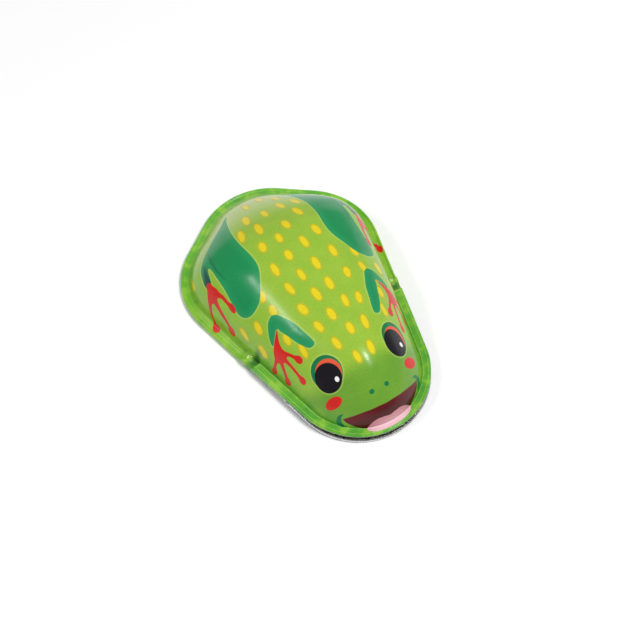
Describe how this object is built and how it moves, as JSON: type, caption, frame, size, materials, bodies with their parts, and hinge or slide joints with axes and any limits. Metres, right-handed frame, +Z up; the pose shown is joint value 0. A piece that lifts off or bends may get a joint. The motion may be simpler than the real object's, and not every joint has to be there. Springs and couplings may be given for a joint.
{
  "type": "tin jumping frog",
  "caption": "Printed tinplate toy frog with a sprung flap under its front half, held shut by a suction cup that lets go and makes it leap.",
  "frame": {"origin": "on the table under the middle of the toy, at the bottom centre of its box", "axes": "+Z up, -Y towards the nose, +X towards the frog's left"},
  "size_m": [0.0516, 0.076, 0.0186],
  "materials": {
    "printed_tin": "glossy printed and lacquered tinplate",
    "bare_tin": "bare rolled tinplate, semi-bright",
    "steel_wire": "drawn steel wire",
    "spring_steel": "oiled spring wire",
    "rivet_steel": "plated steel",
    "red_rubber": "soft moulded rubber"
  },
  "bodies": {
    "frog": {"body_shell": "printed_tin", "base_plate": "bare_tin", "hinge_pin": "steel_wire", "spring_left": "spring_steel", "spring_right": "spring_steel", "cup_bracket": "bare_tin", "rivet_front": "rivet_steel", "rivet_rear": "rivet_steel", "suction_cup": "red_rubber"},
    "flap": {"jump_flap": "bare_tin"}
  },
  "joints": [
    {"name": "flap_hinge", "type": "hinge", "parent": "frog", "child": "flap", "pos_m": [0, -0.006, 0.0027], "axis": [1, 0, 0], "range_deg": [0, 45], "deforming": ["spring_left", "spring_right"]}
  ]
}
